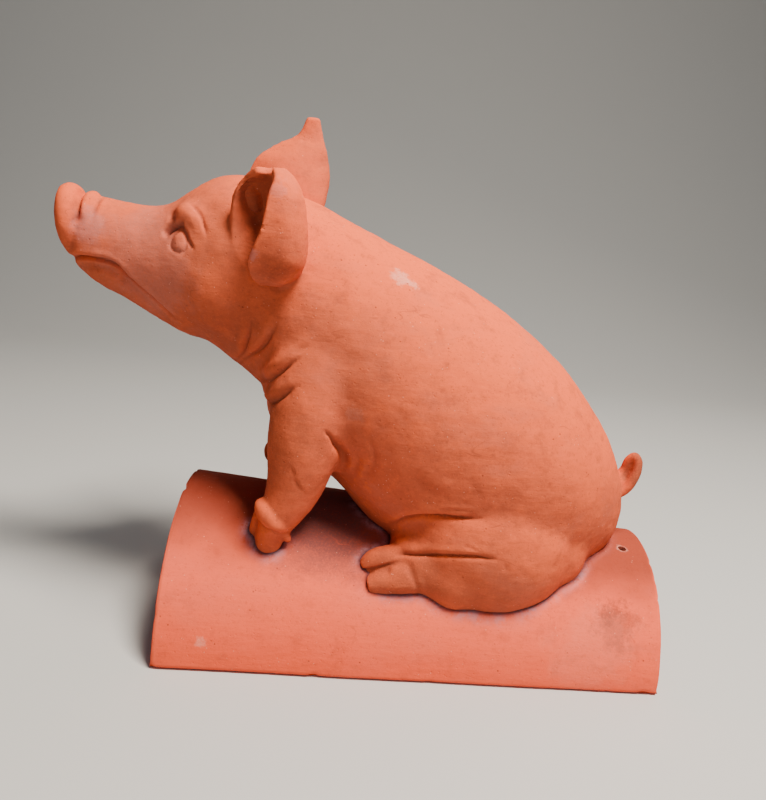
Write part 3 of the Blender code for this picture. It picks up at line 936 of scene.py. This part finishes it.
    throat_rolls: tuple[tuple[float, float, Line], ...] = (
        (2.8, 2.4, ((-188, 128), (-173, 144), (-169, 155), (-166, 168), (-164, 182))),
        (3.2, 2.8, ((-184, 126), (-167, 142), (-155, 153), (-147, 167), (-140, 182))),
        (3.6, 3.6, ((-164, 108), (-152, 122), (-136, 138), (-126, 148), (-115, 157))),
        (3.2, 3.2, ((-160, 93), (-147, 105), (-134, 117), (-126, 125), (-113, 135))),
    )
    nape_fold: Crease = Crease(2.4, 0.9, 0.4, 0.5, ((-128, 152), (-120, 160), (-110, 166)))
    mouth: Line = (
        (-345, 209), (-328, 212), (-315, 212.5), (-299, 211.5), (-290, 208), (-284, 202),
        (-272, 193), (-259, 184), (-245, 173), (-234, 165),
    )
    snout_folds: Folds = (
        (5.5, 1.6, 0.0, 0.5, ((-300, 206), (-288, 200), (-276, 190), (-262, 180))),
        (1.5, 2.2, 0.3, 0.4, ((-330, 274), (-326.5, 262), (-326, 252), (-328, 244), (-331, 236))),
        (1.6, 1.8, 0.7, 0.5, ((-310, 274), (-311, 264), (-312.5, 253), (-315, 243))),
    )
    eye_folds: Folds = (
        (3.0, 5.4, 0.0, 0.2, ((-249, 240), (-243.5, 243.5), (-238, 247.5), (-231.5, 250),
         (-228, 250))),
        (4.0, 2.0, 0.0, 0.4, ((-246, 252), (-241, 256), (-236, 252))),
        (1.7, 2.3, 0.4, 0.3, ((-233, 251), (-227.5, 245), (-222.5, 236.5), (-217, 230))),
        (1.2, 1.3, 0.0, 0.0, ((-239.5, 236), (-238, 240), (-233.5, 244.5), (-229, 245),
         (-226, 239.5), (-225.5, 232), (-229, 228), (-235, 228.5), (-239.5, 231.5),
         (-239.5, 236))),
        (4.2, -1.3, 0.0, 0.0, ((-233.5, 239), (-232, 233))),
        (4.4, -1.6, 0.0, 0.45, ((-235, 265), (-226, 262), (-219.5, 253), (-214, 238))),
        (1.3, 1.9, 0.7, 0.35, ((-206, 238), (-210, 250), (-215.5, 261), (-222.5, 267),
         (-231, 270))),
    )
    eye_between: tuple[float, float] = (18.0, 200.0)
    ear_scoop: Crease = Crease(
        8.5, 6.5, 0.0, 0.3, ((-176, 300), (-167, 262), (-168, 222)), (20, 78), hands=(Hand.LEFT,)
    )

    def creases(self) -> list[Crease]:
        """Lays the folds of the legs, the flank, the throat, the mouth, the nose and the eyes.

        Returns:
            The folds, in the order that they are pressed.
        """
        rolls = self.throat_rolls
        jaw = tuple((x + 1.0, z - 7.0) for x, z in self.mouth)
        return [
            *(Crease(*fold, self.leg_between) for fold in self.leg_folds),
            *(Crease(*fold, self.flank_between) for fold in self.flank_folds),
            *(Crease(wide, 1.7, lip, 0.45, line, wraps=True) for wide, lip, line in rolls),
            *(Crease(1.3, 2.2, 0.4, 0.45, line, wraps=True) for _, _, line in rolls),
            self.nape_fold,
            Crease(2.3, 6.2, 1.2, 0.14, self.mouth),
            Crease(5.6, 3.8, 0.0, 0.25, jaw),
            *(Crease(*fold) for fold in self.snout_folds),
            *(Crease(*fold, self.eye_between) for fold in self.eye_folds),
            self.ear_scoop,
        ]

    def massed(self) -> Object:
        """Builds the trunk, the haunches and the upper legs.

        Returns:
            One smooth body.
        """
        things = [Sculptor.lofted(self.trunk, 64)]
        for hand in Hand:
            for (x, y, z), radii, turn in self.masses:
                things.append(Sculptor.lump((x, hand.value * y, z), radii, turn))
            things.append(Sculptor.limb(self.foreleg, hand))
        return Sculptor.kneaded(things, self.coarse, self.mass_rounds)

    def detailed(self, body: Object) -> Object:
        """Adds the nose, the tail, the feet and the ears.

        Args:
            body: The smooth body, which is used up.

        Returns:
            The pig, before its creases.
        """
        things = [body, Sculptor.lofted(self.nose, 48)]
        things += [Sculptor.limb(points) for points in (self.tail, self.tail_ridge)]
        things.append(Sculptor.lump(*self.tail_root, 0.0))
        for hand in Hand:
            for points in self.toes:
                things.append(Sculptor.limb(points, hand))
            (x, y, z), radii, turn = self.fetlock
            things.append(Sculptor.lump((x, hand.value * y, z), radii, turn))
        things += [Sculptor.lump(*lump, 0.0) for lump in (self.nose_pad, self.far_fetlock)]
        things.append(Sculptor.cupped_ear(self.near_ear, self.ear_wall))
        things.append(Sculptor.cupped_ear(self.far_ear, self.ear_wall))
        return Sculptor.kneaded(things, self.fine, self.detail_rounds)

    def pressed(self, pig: Object) -> None:
        """Presses the creases and the nostrils into the skin.

        Args:
            pig: The pig, whose mesh is changed.
        """
        points, normals = read_points(pig.data), read_normals(pig.data)
        moved = np.zeros(len(points))
        for crease in self.creases():
            crease.press(points, normals, moved)
        points += normals * moved[:, None]
        (x, y, z), reach = self.nostril
        for hand in Hand:
            away = (points - np.array([x, hand.value * y, z])) / np.array(reach)
            points[:, 0] += self.nostril_depth * np.exp(-(away**2).sum(1))
        write_points(pig.data, points)

    def roughened(self, pig: Object) -> Object:
        """Gives the skin the unevenness of hand work and thins its mesh where it is plain.

        Args:
            pig: The pig, which is used up.

        Returns:
            The pig with an uneven skin.
        """
        for name, size, strength in self.unevenness:
            cloud = bpy.data.textures.new(name, "CLOUDS")
            cloud.noise_scale = size
            cloud.noise_depth = 2
            press = pig.modifiers.new(name, "DISPLACE")
            press.texture = cloud
            press.texture_coords = "LOCAL"
            press.strength = strength
            press.mid_level = 0.5
        thin = pig.modifiers.new("thin", "DECIMATE")
        faces = sum(len(p.vertices) - 2 for p in pig.data.polygons)
        thin.ratio = min(1.0, self.triangles / faces)
        return settled(pig)

    def seated(self, pig: Object) -> None:
        """Places the pig in the frame and presses its underside into the tile's surface.

        Args:
            pig: The pig, whose mesh is changed.
        """
        points = read_points(pig.data)
        points[:, 0] += self.tile.length / 2
        points[:, 2] += self.tile.crest_at_middle
        across = np.hypot(points[:, 1], points[:, 2])
        floor = self.tile.radius_at(points[:, 0]) - self.bedded
        under = across < floor
        points[under, 1:] *= (floor[under] / np.maximum(across[under], 1.0))[:, None]
        write_points(pig.data, self.tile.placed(points))

    def build(self) -> Object:
        """Builds the pig in the frame.

        Returns:
            The pig.
        """
        pig = self.detailed(self.massed())
        self.pressed(pig)
        pig = self.roughened(pig)
        self.seated(pig)
        pig.name = "terracotta_pig"
        pig.data.shade_smooth()
        write_hollow_shade_and_wear(pig.data, self.hollow_rounds, self.hollow_reach * MM)
        return pig


@dataclass(frozen=True)
class RidgeTile:
    """The half-round ridge tile: an extruded arch with soft edges and a nail hole.

    The slip lies within its reach of the pig and fades towards the narrow end. A chip has its
    place, its size and how far it pushes the skin.
    """

    form: TileForm
    grid: float = 2.6
    edge: float = 2.4
    bead: float = 1.1
    bead_at: float = 2.5
    bead_width: float = 2.6
    skin_depth: float = 3.0
    slip_reach: float = 6.0
    slip_until: float = 405.0
    slip_fade: float = 40.0
    contact_shadow_reach: float = 2.6
    hollow_rounds: int = 8
    hollow_reach: float = 0.9
    chips: tuple[tuple[Point, float, Point], ...] = (
        ((403.0, -110.0, 0.0), 3.0, (0.0, 0.6, 0.9)),
        ((2.0, -130.0, 0.0), 5.0, (1.4, 0.8, 1.2)),
        ((450.0, -44.0, 99.0), 3.5, (-1.0, 0.2, -0.4)),
        ((450.0, -75.0, 78.0), 3.0, (-0.8, 0.3, -0.3)),
        ((450.0, -109.0, 6.0), 3.0, (-0.8, 0.3, 0.3)),
    )

    def arch(self) -> Object:
        """Builds the plain tapered arch in millimetres, closed at both ends.

        Returns:
            The arch.
        """
        form = self.form
        outer = int(math.pi * form.wide_radius / self.grid)
        inner = outer // 2
        ring = [(1.0, math.pi * k / outer) for k in range(outer + 1)]
        ring += [(s, math.pi) for s in (0.75, 0.5, 0.25)]
        ring += [(0.0, math.pi * (1 - k / inner)) for k in range(inner + 1)]
        ring += [(s, 0.0) for s in (0.25, 0.5, 0.75)]
        steps, around = int(form.length / self.grid), len(ring)
        verts = []
        for x in [form.length * k / steps for k in range(steps + 1)]:
            for share, angle in ring:
                r = form.radius_at(x) - form.wall * (1 - share)
                verts.append((x, -r * math.cos(angle), r * math.sin(angle)))
        faces: list[tuple[int, ...]] = []
        for k in range(steps):
            for i in range(around):
                a, b = k * around + i, k * around + (i + 1) % around
                faces.append((a, a + around, b + around, b))
        whole = mesh_object("arch", np.array(verts), faces)
        body = bmesh.new()
        body.from_mesh(whole.data)
        body.edges.ensure_lookup_table()
        rims = [e for e in body.edges if e.is_boundary]
        bmesh.ops.triangle_fill(body, edges=rims, use_beauty=True)
        bmesh.ops.recalc_face_normals(body, faces=body.faces)
        body.to_mesh(whole.data)
        body.free()
        return whole

    def drilled(self, tile: Object) -> Object:
        """Cuts the nail hole through the arch.

        Args:
            tile: The arch, which is used up.

        Returns:
            The arch with its hole.
        """
        at = self.form.length - self.form.hole_from_end
        shape = bmesh.new()
        bmesh.ops.create_cone(
            shape,
            cap_ends=True,
            segments=28,
            radius1=self.form.hole_radius,
            radius2=self.form.hole_radius * 1.06,
            depth=4 * self.form.wall,
        )
        place = Matrix.Translation((at, 0, 0)) @ Matrix.Rotation(self.form.hole_tilt, 4, "X")
        shape.transform(place @ Matrix.Translation((0, 0, float(self.form.radius_at(at)))))
        drill = shaped("nail_drill", shape)
        step = tile.modifiers.new("hole", "BOOLEAN")
        step.operation = "DIFFERENCE"
        step.object = drill
        bored = settled(tile)
        bpy.data.objects.remove(drill)
        return bored

    def softened(self, points: np.ndarray) -> np.ndarray:
        """Rounds the long edges and the rims, and wears chips out of them.

        Args:
            points: The arch's points, in millimetres.

        Returns:
            The points moved.
        """
        form = self.form
        moved = points.copy()
        across = np.hypot(points[:, 1], points[:, 2])
        outer = form.radius_at(points[:, 0])
        skin = np.minimum(outer - across, across - (outer - form.wall))
        ends = np.minimum(points[:, 0], form.length - points[:, 0])
        wear = np.clip((clouds(points, (0.06, 0.06, 0.06), 7) - 0.30) / 0.3, 0, 1)
        reach = self.edge * (1 + 0.7 * wear)
        middle = outer - form.wall / 2
        for gap, at_rim in ((ends, True), (points[:, 2], False)):
            close = np.clip(1 - gap / reach, 0, 1)
            tight = np.clip(1 - skin / reach, 0, 1)
            pull = reach * np.clip(close + tight - 1, 0, 1) * 0.75
            inward = np.sign(middle - across) * pull / np.maximum(across, 1)
            moved[:, 1] += inward * points[:, 1]
            if at_rim:
                moved[:, 2] += inward * points[:, 2]
                moved[:, 0] += pull * np.where(points[:, 0] < form.length / 2, 1, -1)
            else:
                moved[:, 2] += pull
        ragged = clouds(points, (0.3, 0.3, 0.3))
        for place, size, push in self.chips:
            away = np.linalg.norm(points - np.array(place), axis=1) / size
            moved += np.clip(1.3 - away + 0.8 * ragged, 0, 1)[:, None] * np.array(push)
        return moved

    def build(self, pig: Object) -> Object:
        """Builds the tile in the frame, with a smear of slip round the pig and painted contact
        shadow along it.

        Args:
            pig: The pig, already in place.

        Returns:
            The tile.
        """
        tile = self.drilled(self.arch())
        tile.name = "terracotta_ridge_tile"
        points = self.softened(read_points(tile.data))
        normals = read_normals(tile.data)
        skin = [tuple(p.vertices) for p in pig.data.polygons]
        tree = BVHTree.FromPolygons([tuple(v) for v in read_points(pig.data)], skin)
        placed = self.form.placed(points)
        gap = np.array([tree.find_nearest(Vector(v))[3] for v in placed]) / MM
        outer = self.form.radius_at(points[:, 0]) - self.skin_depth
        top = np.hypot(points[:, 1], points[:, 2]) > outer
        broken = clouds(points, (0.05, 0.05, 0.05))
        wave = clouds(points, (0.012, 0.02, 0.02), 3)
        bead = np.exp(-(((gap - self.bead_at) / self.bead_width) ** 2))
        bead *= np.clip(0.55 + 1.6 * broken, 0, 1) * top
        lift = self.bead * bead + 0.55 * wave + 0.25 * broken
        placed += normals * (lift * MM)[:, None]
        placed[:, 2] = np.maximum(placed[:, 2], 0)
        write_points(tile.data, placed)
        tile.data.shade_smooth()
        top = top * np.clip((self.slip_until - points[:, 0]) / self.slip_fade, 0.15, 1)
        slip = np.exp(-((gap / self.slip_reach) ** 2)) * np.clip(0.8 + 1.6 * broken, 0, 1) * top
        write_share(tile.data, "slip", slip)
        # Painted contact shadow, close round the pig.
        write_share(tile.data, "contact_shadow", np.exp(-((gap / self.contact_shadow_reach) ** 2)) * top)
        write_hollow_shade_and_wear(tile.data, self.hollow_rounds, self.hollow_reach * MM)
        return tile


@dataclass(frozen=True)
class Lamp:
    """A soft square lamp: its place, the length of its side, its power and its colour."""

    name: str
    place: Point
    size: float
    watts: float
    colour: Colour

    def hang(self, aim: Point) -> None:
        """Hangs the lamp.

        Args:
            aim: What it points at.
        """
        data = bpy.data.lights.new(self.name, "AREA")
        data.size = self.size
        data.energy = self.watts
        data.color = self.colour
        lamp = linked(self.name, data)
        lamp.location = self.place
        facing = Vector(aim) - Vector(self.place)
        lamp.rotation_euler = facing.to_track_quat("-Z", "Y").to_euler()


@dataclass(frozen=True)
class Studio:
    """The floor, the lights and the camera that stands where the photographer's did.

    The eye is measured from the tile's wide end, whose x in the frame is the first field.
    """

    wide_end: float
    eye: Point = (0.15414, -0.74305, 0.39425)
    right: Point = (0.995051, -0.013269, 0.098478)
    up: Point = (-0.092925, 0.226796, 0.969499)
    back: Point = (-0.035199, -0.973852, 0.224441)
    lens: float = 36.0
    sensor: float = 36.0
    half_floor: float = 20.0
    bend_from: float = 1.3
    bend_radius: float = 1.6
    wall_height: float = 6.0
    floor_colour: Colour = (0.56, 0.545, 0.52)
    room_colour: Colour = (0.72, 0.86, 1.0)
    room_strength: float = 0.13
    aim: Point = (0.0, 0.0, 0.24)
    lamps: tuple[Lamp, ...] = (
        Lamp("key", (0.50, -0.54, 1.78), 0.55, 80.0, (1.0, 0.93, 0.83)),
        Lamp("fill", (0.7, -1.6, 0.6), 1.2, 4.0, (0.82, 0.92, 1.0)),
        Lamp("back", (0.9, 1.1, 1.5), 1.0, 7.0, (1.0, 0.95, 0.88)),
    )

    def floor(self) -> None:
        """Lays a plain pale floor that sweeps up behind as a backdrop."""
        far, radius = self.bend_from, self.bend_radius
        turns = [math.radians(90 * k / 24) for k in range(25)]
        bend = [(far + radius * math.sin(a), radius * (1 - math.cos(a))) for a in turns]
        corners = []
        for along, height in [(-self.half_floor, 0.0), *bend, (far + radius, self.wall_height)]:
            corners += [(side * self.half_floor, along, height) for side in (-1, 1)]
        strips = [(k, k + 1, k + 3, k + 2) for k in range(0, len(corners) - 2, 2)]
        floor = mesh_object("floor", np.array(corners), strips)
        pale = bpy.data.materials.new("pale_floor")
        pale.use_nodes = True
        shader = pale.node_tree.nodes["Principled BSDF"]
        shader.inputs["Base Color"].default_value = (*self.floor_colour, 1.0)
        shader.inputs["Roughness"].default_value = 0.9
        floor.data.materials.append(pale)
        floor.data.shade_smooth()

    def lights(self) -> None:
        """Hangs the key, the fill and the back light, in a pale room."""
        for lamp in self.lamps:
            lamp.hang(self.aim)
        world = bpy.data.worlds.new("room")
        world.use_nodes = True
        room = world.node_tree.nodes["Background"]
        room.inputs["Color"].default_value = (*self.room_colour, 1.0)
        room.inputs["Strength"].default_value = self.room_strength
        bpy.context.scene.world = world

    def camera(self) -> None:
        """Sets the camera at the photograph's angle."""
        data = bpy.data.cameras.new("camera")
        data.lens = self.lens
        data.sensor_width = self.sensor
        camera = linked("camera", data)
        place = Matrix.Identity(4)
        for column, axis in enumerate((self.right, self.up, self.back, self.eye)):
            for row in range(3):
                place[row][column] = axis[row]
        place[0][3] += self.wide_end
        camera.matrix_world = place
        bpy.context.scene.camera = camera

    def build(self) -> None:
        """Sets up the floor, the lights and the camera."""
        self.floor()
        self.lights()
        self.camera()


def dress(piece: Object, node: str, finish: Material) -> None:
    """Puts a piece in the place of its CAD node, with its finish.

    Args:
        piece: The piece.
        node: The CAD node that it stands for.
        finish: Its material.
    """
    piece.data.materials.clear()
    piece.data.materials.append(finish)
    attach(piece, "root")
    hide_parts(node)
    LOG.info("%s: %d faces", piece.name, len(piece.data.polygons))


def main() -> None:
    """Builds each piece over the frame, in order."""
    logging.basicConfig(level=logging.INFO, format="%(name)s %(message)s")
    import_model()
    form = TileForm(wide_end=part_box("ridge_tile")[0][0])
    Studio(form.wide_end).build()
    pig = SeatedPig(form).build()
    tile = RidgeTile(form).build(pig)
    dress(pig, "pig", PIG_CLAY.material(PIG_PATCHES))
    dress(tile, "ridge_tile", TILE_CLAY.material(TILE_PATCHES))


if __name__ == "__main__":
    main()
